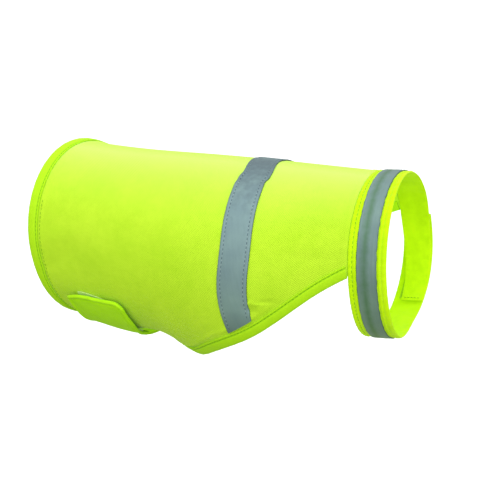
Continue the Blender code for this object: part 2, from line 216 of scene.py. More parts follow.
SEAM_PUCKER_PITCH = 0.0068
SEAM_DIP_SHARE = 0.5
SEAM_DIP_REACH = 0.0011
NECK_SEAM_PLACE = 0.0002
BINDING_WIDTH = 0.0095
FRONT_BINDING_WIDTH = 0.0085
BODY_COLUMNS = 380
WING_COLUMNS = 139
BODY_ROWS = 116
ROW_CROWDING = 0.30


def natural_spline(xs, ys):
    """A smooth curve y(x) through the points, straight at both ends, for whole arrays of x."""
    xs, ys = np.asarray(xs, float), np.asarray(ys, float)
    count, steps = len(xs), np.diff(xs)
    slopes = np.diff(ys) / steps
    matrix, right = np.eye(count), np.zeros(count)
    for i in range(1, count - 1):
        matrix[i, i - 1:i + 2] = steps[i - 1], 2.0 * (steps[i - 1] + steps[i]), steps[i]
        right[i] = 6.0 * (slopes[i] - slopes[i - 1])
    bends = np.linalg.solve(matrix, right)

    def curve(x):
        i = np.clip(np.searchsorted(xs, x) - 1, 0, count - 2)
        a, b = (xs[i + 1] - x) / steps[i], (x - xs[i]) / steps[i]
        bend = ((a ** 3 - a) * bends[i] + (b ** 3 - b) * bends[i + 1]) * steps[i] ** 2 / 6.0
        return a * ys[i] + b * ys[i + 1] + bend

    return curve


def ease(value, start, stop):
    """0 before start, 1 after stop, smooth between."""
    t = np.clip((value - start) / (stop - start), 0.0, 1.0)
    return t * t * (3.0 - 2.0 * t)


def hump(value, middle, reach):
    """1 at the middle, fading away over the reach."""
    return np.exp(-((value - middle) / reach) ** 2)


section_x, *section_sizes = zip(*SECTIONS)
half_width, half_height, centre_height, skew = (natural_spline(section_x, sizes) for sizes in section_sizes)


def fold_height(x, angle):
    """How far the large folds and the small creases move the cloth out or in."""
    total = HEM_FLARE * np.maximum(np.cos(np.radians(angle)), 0.0) * np.exp(-(x / HEM_FLARE_REACH) ** 2)
    for side in (1.0, -1.0):
        for place_x, place_angle, reach_x, reach_angle, height in FOLDS:
            away = (angle - side * place_angle + 180.0) % 360.0 - 180.0
            total = total + height * hump(x, place_x, reach_x) * hump(away, 0.0, reach_angle)
        for place_x, place_angle, length, width, slant, height in CREASES:
            away = ((angle - side * place_angle + 180.0) % 360.0 - 180.0) * side * METRES_PER_DEGREE
            lean = math.radians(slant)
            along = (x - place_x) * math.cos(lean) + away * math.sin(lean)
            across = away * math.cos(lean) - (x - place_x) * math.sin(lean)
            total = total + height * hump(along, 0.0, length) * hump(across, 0.0, width)
    return total + skew(x) * np.cos(2.0 * np.radians(angle - SKEW_ANGLE))


def form_point(x, angle):
    """Points on the inside of the worn cloth, in the garment's frame."""
    ring_x, fold, turned = np.minimum(x, BACK_LENGTH), fold_height(x, angle), np.radians(angle)
    across = -(half_width(ring_x) + fold) * np.sin(turned)
    up = centre_height(ring_x) + (half_height(ring_x) + fold) * np.cos(turned)
    return np.stack(np.broadcast_arrays(x, across, up), axis=-1)


def outward_of(x, angle):
    """Which way is out at a place on the form."""
    along = form_point(x + STEP_ALONG, angle) - form_point(x - STEP_ALONG, angle)
    around = form_point(x, angle + STEP_ROUND) - form_point(x, angle - STEP_ROUND)
    outward = np.cross(around, along)
    return outward / np.linalg.norm(outward, axis=-1, keepdims=True)


def stand(points):
    """From the garment's frame to the room: tipped with the neck end up, held inside the back."""
    held = form_point(np.array(HELD_AT), np.array(0.0))
    tip = np.array(((math.cos(PITCH), 0.0, math.sin(PITCH)), (0.0, 1.0, 0.0),
                    (-math.sin(PITCH), 0.0, math.cos(PITCH))))
    return (points - held) @ tip


def far_drift(angle):
    """The far wing is fastened a little further forward than the near one."""
    return FAR_WING_DRIFT * ease(-angle, *FAR_WING_DRIFT_ANGLES)


def on_body(x, angle, height):
    """Points at a height over the inside of the body cloth; the far wing passes outside the near one."""
    lift_off = height + FAR_WING_LIFT * ease(-angle, *FAR_WING_LIFT_ANGLES)
    return stand(form_point(x, angle) + outward_of(x, angle) * np.asarray(lift_off)[..., None])


edge_xs, edge_angles = (np.array(values) for values in zip(*WING_EDGE))
edge_steps = np.hypot(np.diff(edge_xs), np.diff(edge_angles) * np.radians(half_width(edge_xs[1:])))
edge_parts = np.concatenate(([0.0], np.cumsum(edge_steps))) / edge_steps.sum()
edge_x, edge_angle = natural_spline(edge_parts, edge_xs), natural_spline(edge_parts, edge_angles)
fine_parts = np.linspace(0.0, 1.0, EDGE_POINTS)
fine_angles = edge_angle(fine_parts)


def edge_part_at(angle):
    """Where along the cut edge of a wing an angle is reached."""
    return np.interp(angle, fine_angles, fine_parts)


def front_limit(angle):
    """How far forward the body cloth reaches at an angle."""
    on_wing = edge_x(edge_part_at(np.abs(angle))) + far_drift(angle)
    return np.where(np.abs(angle) <= NECK_CORNER_ANGLE, BACK_LENGTH, on_wing)


def ripple(along, pitch):
    """Uneven small waves along a seam, from -1 to 1."""
    turns = 2.0 * math.pi * along / pitch
    return sum(share * np.sin(turns * quickness + shift) for share, quickness, shift in RIPPLES)


def seam_swell(distance, along):
    """The cloth stands up in a soft ridge beside a seam, puckered by the thread."""
    pucker = 1.0 + SEAM_PUCKER * ripple(along, SEAM_PUCKER_PITCH)
    ridge = hump(distance, SEAM_RIDGE_AWAY, SEAM_RIDGE_REACH) * pucker
    return SEAM_RIDGE * (ridge - SEAM_DIP_SHARE * hump(distance, 0.0, SEAM_DIP_REACH))


def close_mesh(name, shape, smooth_angle=50.0):
    """The finished bmesh as an object, with its faces pointing out and its shading smooth."""
    bmesh.ops.recalc_face_normals(shape, faces=shape.faces)
    if shape.calc_volume(signed=True) < 0.0:
        bmesh.ops.reverse_faces(shape, faces=shape.faces)
    mesh = bpy.data.meshes.new(name)
    shape.to_mesh(mesh)
    shape.free()
    mesh.shade_smooth()
    mesh.set_sharp_from_angle(angle=math.radians(smooth_angle))
    piece = bpy.data.objects.new(name, mesh)
    scene.collection.objects.link(piece)
    return piece


def keep_flat_map(piece, flat):
    """Give each vertex's place on the flat cut, in metres, to the UV map that the weave follows."""
    mesh = piece.data
    corners = np.empty(len(mesh.loops), np.int32)
    mesh.loops.foreach_get("vertex_index", corners)
    mesh.uv_layers.new(name="cut").data.foreach_set("uv", flat[corners].ravel())


def cut_cloth(name, columns, rows, place, flat=None):
    """Cut a slab of cloth, u and v from 0 to 1 and z from 0 (inside) to 1, and lay it with place(u, v, z).

    flat(u, v) gives the place on the flat cut; without it, the lengths along the laid cloth are taken.
    """
    cloth = bmesh.new()
    bmesh.ops.create_grid(cloth, x_segments=columns, y_segments=rows, size=0.5)
    bmesh.ops.translate(cloth, vec=(0.5, 0.5, 0.0), verts=cloth.verts)
    extruded = bmesh.ops.extrude_face_region(cloth, geom=cloth.faces[:], use_keep_orig=True)["geom"]
    outside = [element for element in extruded if isinstance(element, bmesh.types.BMVert)]
    bmesh.ops.translate(cloth, vec=(0.0, 0.0, 1.0), verts=outside)
    u, v, z = np.array([vertex.co for vertex in cloth.verts]).T
    for vertex, point in zip(cloth.verts, place(u, v, z)):
        vertex.co = point
    piece = close_mesh(name, cloth)
    if flat is not None:
        keep_flat_map(piece, flat(u, v))
        return piece
    lines = np.linspace(0.0, 1.0, columns + 1), np.linspace(0.0, 1.0, rows + 1)
    net = place(*np.meshgrid(*lines, indexing="ij"), 1.0)
    around = np.cumsum(np.linalg.norm(np.diff(net, axis=0, prepend=net[:1]), axis=-1), axis=0)
    along = np.cumsum(np.linalg.norm(np.diff(net, axis=1, prepend=net[:, :1]), axis=-1), axis=1)
    around -= around[columns // 2]
    i, j = np.rint(u * columns).astype(int), np.rint(v * rows).astype(int)
    keep_flat_map(piece, np.stack((around[i, j], along[i, j]), axis=-1))
    return piece


class Dye:
    """A material under way: its shader, and short calls for the nodes of its pattern."""

    def __init__(self, name, colour, finish):
        self.material = bpy.data.materials.new(name)
        self.material.use_nodes = True
        self.tree = self.material.node_tree
        self.shader = self.tree.nodes["Principled BSDF"]
        for socket, value in {"Base Color": (*colour, 1.0), **finish}.items():
            self.shader.inputs[socket].default_value = value

    def node(self, kind, inputs=(), **settings):
        return add_node(self.tree, kind, inputs, **settings)

    def sum(self, operation, *values):
        return self.node("ShaderNodeMath", enumerate(values), operation=operation).outputs[0]

    def clamp(self, value, most=1.0):
        return self.node("ShaderNodeClamp", {0: value, "Max": most}).outputs[0]

    def flat_map(self):
        """The place on the flat cut, and its two measures."""
        place = self.node("ShaderNodeUVMap", uv_map="cut").outputs[0]
        split = self.node("ShaderNodeSeparateXYZ", {0: place})
        return place, split.outputs[0], split.outputs[1]

    def wave(self, value, pitch):
        """A sine wave from 0 to 1."""
        turned = self.sum("MULTIPLY", value, 2.0 * math.pi / pitch)
        return self.sum("MULTIPLY_ADD", self.sum("SINE", turned), 0.5, 0.5)

    def noise(self, place, scale, detail=2.0):
        return self.node("ShaderNodeTexNoise", {"Vector": place, "Scale": scale, "Detail": detail}).outputs[0]

    def between(self, factor, low, high):
        return self.node("ShaderNodeMix", {0: factor, 6: low, 7: high}, data_type="RGBA").outputs[2]

    def colour(self, value):
        self.tree.links.new(value, self.shader.inputs["Base Color"])

    def glow(self, value, strength):
        self.tree.links.new(value, self.shader.inputs["Emission Color"])
        self.shader.inputs["Emission Strength"].default_value = strength

    def relief(self, height, depth):
        """Give the surface its relief; the finished material."""
        bump = self.node("ShaderNodeBump", {"Height": height, "Distance": depth, "Strength": 1.0})
        self.tree.links.new(bump.outputs[0], self.shader.inputs["Normal"])
        return self.material


YELLOW_SHEEN = {"Sheen Roughness": 0.22, "Sheen Tint": (0.88, 1.0, 0.50, 1.0)}
KNIT_FINISH = {"Roughness": 0.88, "Specular IOR Level": 0.10, **YELLOW_SHEEN}
KNIT_EYE_SHADE = -0.60
KNIT_FIBRES = 2600.0
KNIT_FIBRE_SHADE = 0.25
KNIT_FIBRE_RELIEF = 0.35
KNIT_PATCHES = 24.0
KNIT_SPOTS = 130.0
KNIT_SPOT_SHARE = 0.6
KNIT_SHADE = 0.58
KNIT_PATCH_MIDDLE = 0.8


def knit_cloth(name, light, dark, pitch, depth, glow, sheen, mottle, painted_highlight=None, painted_highlight_reach=1.0):
    """Fluorescent polyester knit: a lattice of small eyes, a little uneven in colour, with a soft sheen.

    A painted highlight, a paler and whiter colour, shows most on the line where the flat cut's first measure
    is 0.
    """
    dye = Dye(name, light, {"Sheen Weight": sheen, **KNIT_FINISH})
    place, around, along = dye.flat_map()
    rising = dye.wave(dye.sum("ADD", around, along), pitch)
    falling = dye.wave(dye.sum("SUBTRACT", around, along), pitch)
    eyes = dye.sum("MULTIPLY", rising, falling)
    fibres = dye.noise(place, KNIT_FIBRES)
    spots = dye.sum("MULTIPLY", dye.noise(place, KNIT_SPOTS), KNIT_SPOT_SHARE)
    patches = dye.sum("ADD", dye.noise(place, KNIT_PATCHES), spots)
    uneven = dye.sum("MULTIPLY_ADD", patches, mottle, KNIT_SHADE - KNIT_PATCH_MIDDLE * mottle)
    shade = dye.sum("MULTIPLY_ADD", eyes, KNIT_EYE_SHADE, uneven)
    mixed = dye.between(dye.sum("MULTIPLY_ADD", fibres, KNIT_FIBRE_SHADE, shade), dark, light)
    # Painted highlight: the paler colour is mixed in near that line, where light from above whitens the
    # cloth.
    if painted_highlight is not None:
        off_line = dye.sum("DIVIDE", dye.sum("ABSOLUTE", around), painted_highlight_reach)
        highlight_share = dye.clamp(dye.sum("SUBTRACT", 1.0, off_line))
        mixed = dye.between(dye.sum("MULTIPLY", highlight_share, highlight_share), mixed, painted_highlight)
    dye.colour(mixed)
    dye.glow(mixed, glow)
    return dye.relief(dye.sum("MULTIPLY_ADD", fibres, KNIT_FIBRE_RELIEF, eyes), depth)


wing_parts = np.linspace(0.0, 1.0, WING_COLUMNS + 1)[1:]
near_angles = edge_angle(wing_parts * edge_part_at(NEAR_WING_END))
far_angles = -edge_angle(wing_parts[::-1] * edge_part_at(FAR_WING_END))
back_angles = np.linspace(-NECK_CORNER_ANGLE, NECK_CORNER_ANGLE, BODY_COLUMNS + 1 - 2 * WING_COLUMNS)
column_angles = np.concatenate((far_angles, back_angles, near_angles))


def edge_closeness(angle):
    """How much nearer the slanting cut edge is than the way straight forward along x."""
    part = edge_part_at(np.abs(angle))
    run_x = edge_x(part + EDGE_STEP) - edge_x(part - EDGE_STEP)
    run_round = (edge_angle(part + EDGE_STEP) - edge_angle(part - EDGE_STEP)) * METRES_PER_DEGREE
    slant = np.abs(run_round) / np.hypot(run_x, run_round)
    return np.where(np.abs(angle) <= NECK_CORNER_ANGLE, 1.0, slant)


def flat_body(u, v):
    """The distance round from the spine and the distance forward from the hem, on the flat cut."""
    angle = column_angles[np.rint(u * BODY_COLUMNS).astype(int)]
    crowded = v - ROW_CROWDING * np.sin(2.0 * math.pi * v) / (2.0 * math.pi)
    return np.stack((angle * METRES_PER_DEGREE, (front_limit(angle) - far_drift(angle)) * crowded), axis=-1)


def lay_body(u, v, z):
    """Points of the body cloth on the worn form, with the ridges beside its bindings."""
    angle = column_angles[np.rint(u * BODY_COLUMNS).astype(int)]
    drift = far_drift(angle)
    x = drift + flat_body(u, v)[..., 1]
    round_it = angle * METRES_PER_DEGREE
    from_front = (front_limit(angle) - x) * edge_closeness(angle)
    seam_at = np.where(np.abs(angle) <= NECK_CORNER_ANGLE, NECK_SEAM_PLACE, FRONT_BINDING_WIDTH)
    swell = seam_swell(x - drift - BINDING_WIDTH, round_it) + seam_swell(from_front - seam_at, round_it + x)
    return on_body(x, angle, z * CLOTH_WALL + swell)


WEARER_AXIS_HEIGHT = -0.080
WEARER_AXIS_SLOPE = 0.19
GLOW_FACING = 0.5


def paint_inside_glow(piece, inside_glow):
    """Give the faces that look towards the wearer's middle line a copy of the finish with painted glow, which
    lights their shade.
    """
    piece.data.materials.append(inside_glow)
    for face in piece.data.polygons:
        x, y, z = face.center
        inward = Vector((0.0, -y, WEARER_AXIS_HEIGHT + WEARER_AXIS_SLOPE * x - z))
        if face.normal.dot(inward.normalized()) > GLOW_FACING:
            face.material_index = 1


BODY_LIGHT = (0.515, 0.775, 0.032)
# The paler colour below is a painted highlight over the spine.
BODY_PAINTED_HIGHLIGHT = (0.540, 0.80, 0.130)
BODY_DARK = (0.37, 0.65, 0.014)
body_cloth = cut_cloth("body_cloth", BODY_COLUMNS, BODY_ROWS, lay_body, flat_body)
# The body knit's paler colour over the spine is a painted highlight.
body_cloth.data.materials.append(knit_cloth(
    "body_knit", BODY_LIGHT, BODY_DARK, pitch=0.00170, depth=0.00024, glow=0.0, sheen=0.36, mottle=0.95,
    painted_highlight=BODY_PAINTED_HIGHLIGHT, painted_highlight_reach=0.080))
# The body's inner faces get a knit copy with painted glow that lights their shade.
paint_inside_glow(body_cloth, knit_cloth(
    "body_inside_glow", BODY_LIGHT, BODY_DARK, pitch=0.00170, depth=0.00030, glow=0.48, sheen=0.20, mottle=0.65))
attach(body_cloth, "root")
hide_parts("body_panel")

# Bindings: woven tape folded over the hem and over each slanting front edge, and sewn through close to
# its inner side, so that it stands in a soft roll outside the thread and in a thin lip inside it. Beside
# the hem's, a second row of thread holds the cloth down on both sides of the body.
BINDING_LIP = 0.0016
BINDING_SEAM_HEIGHT = 0.00176
BINDING_WAVE = 0.00012
FRONT_BINDING_START = 0.0015
GROOVE_PLACE = 0.00006
GROOVE_WIDTH = 0.00055
# The groove's darker green is painted shade.
PAINTED_GROOVE_SHADE = (0.27, 0.58, 0.006)
BINDING_PROFILE_MM = (  # distance from the inner side, height over the inside of the cloth
    (0.00, 1.34), (0.04, 1.70), (0.20, 1.98), (0.60, 2.12), (1.10, 1.98), (1.60, 1.66), (2.00, 1.86),
    (2.60, 2.20), (3.60, 2.40), (5.20, 2.44), (7.00, 2.40),
)
BINDING_FOLD_MM = (  # distance outside the cut edge, height
    (-1.60, 2.36), (-0.40, 2.22), (0.50, 1.90), (1.10, 1.36), (1.32, 0.50), (1.10, -0.40), (0.50, -0.98),
    (-0.60, -1.28),
)
BINDING_INSIDE_MM = ((3.60, -1.34), (2.20, -1.22), (1.60, -0.92), (0.70, -1.14), (0.10, -0.86), (0.00, -0.34))


def binding_profile(width):
    """The folded tape seen end on, as points across and height."""
    outside = [(width - away / 1000.0, height / 1000.0) for away, height in BINDING_PROFILE_MM
               if away < width * 1000.0 - 2.0]
    fold = [(-out / 1000.0, height / 1000.0) for out, height in BINDING_FOLD_MM]
    inside = [(width - away / 1000.0, height / 1000.0) for away, height in BINDING_INSIDE_MM]
    inner_faces = [(-GAP, -GAP), (-GAP, CLOTH_WALL + GAP)]
    return outside + fold + inside + inner_faces


STRIP_POINTS = 400


def sweep_strip(name, profile, steps, place):
    """Sweep a closed profile of (across, height) points and lay it with place(t, across, height)."""
    strip = bmesh.new()
    corners = [strip.verts.new((0.0, across, height)) for across, height in profile]
    cap = strip.faces.new(corners)
    bmesh.ops.spin(strip, geom=[cap, *cap.edges, *cap.verts], axis=(0.0, 0.0, 1.0), cent=(0.0, 0.0, 0.0),
                   dvec=(1.0 / steps, 0.0, 0.0), angle=0.0, steps=steps, use_duplicate=False)
    t, across, height = np.array([vertex.co for vertex in strip.verts]).T
    for vertex, point in zip(strip.verts, place(t, across, height)):
        vertex.co = point
    line = place(np.linspace(0.0, 1.0, STRIP_POINTS), *(np.full(STRIP_POINTS, start) for start in profile[0]))
    length = np.linalg.norm(np.diff(line, axis=0), axis=-1).sum()
    piece = close_mesh(name, strip, 60.0)
    keep_flat_map(piece, np.stack((t * length, across - profile[0][0] + height), axis=-1))
    return piece


TWILL_FINISH = {"Roughness": 0.75, "Specular IOR Level": 0.12, "Sheen Weight": 0.12, **YELLOW_SHEEN}
TWILL_RIB_PITCH = 0.0008
TWILL_THREAD_PITCH = 0.0006
TWILL_FIBRES = 2200.0
TWILL_DEPTH = 0.00010


def twill_tape(name, light, dark, glow):
    """Narrow woven tape with fine slanting ribs, with painted shade along its sewn groove."""
    dye = Dye(name, light, TWILL_FINISH)
    place, along, across = dye.flat_map()
    ribs = dye.wave(dye.sum("MULTIPLY_ADD", across, 0.6, along), TWILL_RIB_PITCH)
    threads = dye.wave(dye.sum("MULTIPLY_ADD", across, -1.6, along), TWILL_THREAD_PITCH)
    fibres = dye.noise(place, TWILL_FIBRES)
    weave = dye.sum("MULTIPLY_ADD", threads, 0.35, ribs)
    shade = dye.sum("MULTIPLY_ADD", weave, 0.45, dye.sum("MULTIPLY", fibres, 0.35))
    # Painted shade: the sewn groove is darkened in the colour.
    off_groove = dye.sum("ABSOLUTE", dye.sum("SUBTRACT", across, GROOVE_PLACE))
    groove_shade = dye.clamp(dye.sum("SUBTRACT", 1.0, dye.sum("DIVIDE", off_groove, GROOVE_WIDTH)))
    mixed = dye.between(groove_shade, dye.between(shade, dark, light), PAINTED_GROOVE_SHADE)
    dye.colour(mixed)
    dye.glow(mixed, glow)
    return dye.relief(weave, TWILL_DEPTH)


def lay_hem(t, across, height):
    """Points of the hem's binding, from the far wing's end round to the near wing's."""
    angle = -FAR_WING_END + t * (NEAR_WING_END + FAR_WING_END)
    uneven = BINDING_WAVE * ripple(angle * METRES_PER_DEGREE, 0.011) * np.sign(height - CLOTH_WALL / 2.0)
    return on_body(far_drift(angle) + across, angle, height + uneven)


SECOND_ROW_AWAY = 0.0028
SECOND_ROW_START = 48.0
SECOND_ROW_LIFT = 0.00008
SECOND_ROW_THREAD = 0.00045


def lay_second_row(side, wing_end):
    """The place function of a second row of thread, from high on the side to the end of the wing."""
    def place(t, across, height):
        angle = side * (SECOND_ROW_START + t * (wing_end - SECOND_ROW_START))
        swell = seam_swell(across - BINDING_WIDTH, angle * METRES_PER_DEGREE)
        return on_body(far_drift(angle) + across, angle, height + swell)

    return place


def lay_front(side, wing_end):
    """The place function of a front binding, from the neck corner down to the end of the wing."""
    stop = edge_part_at(wing_end)

    def worn_edge_x(part):
        return edge_x(part) + far_drift(side * edge_angle(part))

    def place(t, across, height):
        part = FRONT_BINDING_START + t * (stop - FRONT_BINDING_START)
        edge_at, angle = worn_edge_x(part), edge_angle(part)
        before, after = part - EDGE_STEP, part + EDGE_STEP
        turned = side * angle
        around = form_point(edge_at, turned + STEP_ROUND) - form_point(edge_at, turned - STEP_ROUND)
        degree = np.linalg.norm(around, axis=-1) / (2.0 * STEP_ROUND)
        run_x = worn_edge_x(after) - worn_edge_x(before)
        run_round = (edge_angle(after) - edge_angle(before)) * degree
        run = np.hypot(run_x, run_round)
        uneven = BINDING_WAVE * ripple(t * 0.33, 0.012) * np.sign(height - CLOTH_WALL / 2.0)
        x = edge_at - across * run_round / run
        return on_body(x, side * (angle + across * run_x / run / degree), height + uneven)

    return place


SEAM_POINTS = 1200
BALL_LAID_DOWN = Matrix.Rotation(math.pi / 2.0, 4, "Y")


def sew_line(name, place, across, height, pitch=0.0036, stitch=0.0025, thread=0.00055, lead=0.002):
    """A row of stitches laid along place(t, across, height), each a short thread sunk at its ends."""
    t = np.linspace(0.0, 1.0, SEAM_POINTS)
    line = place(t, np.full(SEAM_POINTS, across), np.full(SEAM_POINTS, height))
    over = place(t, np.full(SEAM_POINTS, across), np.full(SEAM_POINTS, height + 0.001))
    lengths = np.concatenate(([0.0], np.cumsum(np.linalg.norm(np.diff(line, axis=0), axis=-1))))
    row = bmesh.new()
    for middle in np.arange(lead + stitch / 2.0, lengths[-1] - lead, pitch):
        at, ahead, behind = (Vector([np.interp(s, lengths, line[:, axis]) for axis in range(3)])
                             for s in (middle, middle + stitch / 2.0, middle - stitch / 2.0))
        out = Vector([np.interp(middle, lengths, over[:, axis]) for axis in range(3)]) - at
        along = (ahead - behind).normalized()
        side = out.cross(along).normalized()
        out = along.cross(side)
        half_sizes = Matrix((along * stitch / 2.0, side * thread / 2.0, out * thread / 2.0))
        laid = Matrix.Translation(at) @ half_sizes.transposed().to_4x4() @ BALL_LAID_DOWN
        bmesh.ops.create_uvsphere(row, u_segments=6, v_segments=5, radius=1.0, matrix=laid)
    return close_mesh(name, row)


THREAD_FINISH = {"Roughness": 0.70, "Specular IOR Level": 0.15}
THREAD_TWIST = 2500.0
THREAD_SHADE = 0.7
THREAD_DEPTH = 0.00005


def sewing_thread(name, colour):
    """Spun polyester thread, a little shiny, with its twist across each stitch."""
    dye = Dye(name, colour, THREAD_FINISH)
    twist = dye.noise(dye.node("ShaderNodeTexCoord").outputs["Object"], THREAD_TWIST)
    dye.colour(dye.between(twist, tuple(THREAD_SHADE * part for part in colour), colour))
    return dye.relief(twist, THREAD_DEPTH)


BINDING_LIGHT = (0.48, 0.82, 0.013)
BINDING_DARK = (0.33, 0.65, 0.005)
# The green thread is partly the thread's own green and partly painted shade of the holes round its stitches,
# so it is darker than the cloth.
THREAD_GREEN_AND_SHADE = (0.17, 0.44, 0.006)
binding_weave = twill_tape("binding_weave", BINDING_LIGHT, BINDING_DARK, 0.0)
# The bindings' inner faces get a copy with painted glow that lights their shade.
binding_inside_glow = twill_tape("binding_inside_glow", BINDING_LIGHT, BINDING_DARK, 0.36)
green_thread_and_shade = sewing_thread("green_thread_and_shade", THREAD_GREEN_AND_SHADE)
BINDINGS = (  # piece, node, place function, width, steps
    ("hem_tape", "hem_binding", lay_hem, BINDING_WIDTH, 300),
    ("front_tape_near", "front_binding_near", lay_front(1.0, NEAR_WING_END), FRONT_BINDING_WIDTH, 200),
    ("front_tape_far", "front_binding_far", lay_front(-1.0, FAR_WING_END), FRONT_BINDING_WIDTH, 200),
)
body_pieces = []
for piece_name, node_name, lay, width, steps in BINDINGS:
    tape = sweep_strip(piece_name, binding_profile(width), steps, lay)
    tape.data.materials.append(binding_weave)
    paint_inside_glow(tape, binding_inside_glow)
    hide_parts(node_name)
    stitches = sew_line(piece_name + "_stitches", lay, width - BINDING_LIP, BINDING_SEAM_HEIGHT)
    stitches.data.materials.append(green_thread_and_shade)
    for piece in (tape, stitches):
        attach(piece, "root")
        body_pieces.append(piece)
for piece_name, lay in (("hem_second_row_near", lay_second_row(1.0, NEAR_WING_END)),
                        ("hem_second_row_far", lay_second_row(-1.0, FAR_WING_END))):
    row = sew_line(piece_name, lay, BINDING_WIDTH + SECOND_ROW_AWAY, CLOTH_WALL + SECOND_ROW_LIFT,
                   thread=SECOND_ROW_THREAD)
    row.data.materials.append(green_thread_and_shade)
    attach(row, "root")
    body_pieces.append(row)

# Reflective tape on the body: 25 mm grey cloth tape covered with fine glass beads, sewn across the back
# along both edges and cut off just short of the front bindings.
TAPE_WIDTH = 0.0250
TAPE_WALL = 0.0008
TAPE_END_MARGIN = 0.0010
TAPE_LINE = (  # angle, x
    (-100.0, 0.2078), (-82.0, 0.2036), (-70.0, 0.2018), (-58.0, 0.2002), (-45.0, 0.1987), (-30.0, 0.1974),
    (-20.0, 0.1968), (-10.0, 0.1981), (0.0, 0.2011), (6.0, 0.2033), (11.0, 0.2041), (15.5, 0.2031),
    (20.0, 0.2034), (30.0, 0.2043), (45.0, 0.2053), (58.0, 0.2056), (70.0, 0.2041), (82.0, 0.2038),
    (100.0, 0.2078),
)
TAPE_LANES = 28
TAPE_COLUMNS = 280
TAPE_SEAM_INSET = 0.0030
TAPE_SEAM_DEPTH = 0.00016
TAPE_SEAM_REACH = 0.0009
TAPE_WAVE = 0.00008
TAPE_LIFT = 0.00012
TAPE_EDGE_REACH = 0.0006
TAPE_EDGE_DROP = 0.75
tape_middle = natural_spline(*zip(*TAPE_LINE))


def tape_end(x):
    """The angle at which the tape stops short of the front binding."""
    angles = np.linspace(86.0, 130.0, 1500)
    distance = (edge_x(edge_part_at(angles)) - x) * edge_closeness(angles)
    return angles[np.argmax(distance < FRONT_BINDING_WIDTH + TAPE_END_MARGIN)]


tape_ends = np.array([tape_end(tape_middle(90.0) + TAPE_WIDTH * (lane / TAPE_LANES - 0.5))
                      for lane in range(TAPE_LANES + 1)])


def tape_wall(from_edge):
    """The thickness of the tape, rounded off at its two edges."""
    rounding = 1.0 - np.minimum(from_edge / TAPE_EDGE_REACH, 1.0)
    return TAPE_WALL * np.sqrt(1.0 - rounding ** 2 * TAPE_EDGE_DROP)


def lay_tape(u, v, z):
    """Points of the body's tape, drawn in a little along its two seams."""
    end = np.interp(v, np.linspace(0.0, 1.0, TAPE_LANES + 1), tape_ends)
    angle = end * (2.0 * u - 1.0)
    x = tape_middle(angle) + TAPE_WIDTH * (v - 0.5)
    from_edge = TAPE_WIDTH * np.minimum(v, 1.0 - v)
    along = angle * METRES_PER_DEGREE
    sewn = -TAPE_SEAM_DEPTH * hump(from_edge, TAPE_SEAM_INSET, TAPE_SEAM_REACH)
    sewn = sewn + TAPE_WAVE * ripple(along + 3.0 * v, 0.014)
    return on_body(x, angle, CLOTH_WALL + GAP + TAPE_LIFT + z * (tape_wall(from_edge) + sewn))


def flat_tape(u, v):
    """The place on the flat tape, from the spine and from the edge towards the hem."""
    end = np.interp(v, np.linspace(0.0, 1.0, TAPE_LANES + 1), tape_ends)
    return np.stack((end * (2.0 * u - 1.0) * METRES_PER_DEGREE, v * TAPE_WIDTH), axis=-1)


TAPE_LIGHT = (0.173, 0.262, 0.248)
TAPE_DARK = (0.094, 0.146, 0.174)
# The back tape's darker colour below is painted shade over the spine and towards both ends.
TAPE_PAINTED_SHADE = (0.062, 0.094, 0.108)
TAPE_DARKENING_MOST = 0.85
TAPE_FINISH = {"Roughness": 0.50, "Metallic": 0.50, "Specular IOR Level": 0.35}
# The tape's glow below is painted light of its own colour.
TAPE_PAINTED_GLOW = 0.40
TAPE_EDGE_SHADE_WIDTH = 0.0006
TAPE_EDGE_SHADE = (0.044, 0.076, 0.068)
TAPE_BEADS = 5200.0
TAPE_WEAVE_PITCH = 0.00055
TAPE_SMEARS = 45.0
TAPE_BLOTCHES = 210.0
TAPE_DEPTH = 0.00002


def beaded_tape(name, light, dark, width, dark_line, dark_line_across, dark_line_at, dark_line_reach, dark_line_from=1.0):
    """Grey retroreflective cloth: a satin film of glass beads over a fine weave, with painted shade at its
    cut edges.

    The film is darker along one line, across the tape or lengthwise, and from a distance off that line
    onwards. On the back tape this is painted shade; on the collar tape, a darker green streak.
    """
    dye = Dye(name, light, TAPE_FINISH)
    place, around, along = dye.flat_map()
    beads = dye.noise(place, TAPE_BEADS, 1.0)
    weave = dye.sum("MULTIPLY", dye.wave(around, TAPE_WEAVE_PITCH), dye.wave(along, TAPE_WEAVE_PITCH))
    smears = dye.noise(place, TAPE_SMEARS, 2.0)
    shade = dye.sum("MULTIPLY_ADD", smears, 1.1, dye.sum("MULTIPLY_ADD", beads, 0.4, -0.25))
    film = dye.between(shade, dark, light)
    off_line = dye.sum("ABSOLUTE", dye.sum("SUBTRACT", around if dark_line_across else along, dark_line_at))
    blotches = dye.noise(place, TAPE_BLOTCHES, 3.0)
    darkening = dye.sum("MULTIPLY_ADD", off_line, -1.0 / dark_line_reach, dye.sum("MULTIPLY_ADD", blotches, 0.9, 0.42))
    darkening = dye.sum("MAXIMUM", darkening, dye.sum("MULTIPLY", dye.sum("SUBTRACT", off_line, dark_line_from), 34.0))
    film = dye.between(dye.clamp(darkening, TAPE_DARKENING_MOST), film, dark_line)
    # Painted shade: a thin dark line along both cut edges.
    off_middle = dye.sum("ABSOLUTE", dye.sum("SUBTRACT", along, width / 2.0))
    edge_shade = dye.sum("MULTIPLY_ADD", off_middle, 1.0 / TAPE_EDGE_SHADE_WIDTH, 1.0 - width / 2.0 / TAPE_EDGE_SHADE_WIDTH)
    film = dye.between(dye.clamp(edge_shade), film, TAPE_EDGE_SHADE)
    dye.colour(film)
    # Painted glow: the film gives off light of its own colour, so it stays bright in every light.
    dye.glow(film, TAPE_PAINTED_GLOW)
    return dye.relief(dye.sum("MULTIPLY_ADD", beads, 0.6, weave), TAPE_DEPTH)


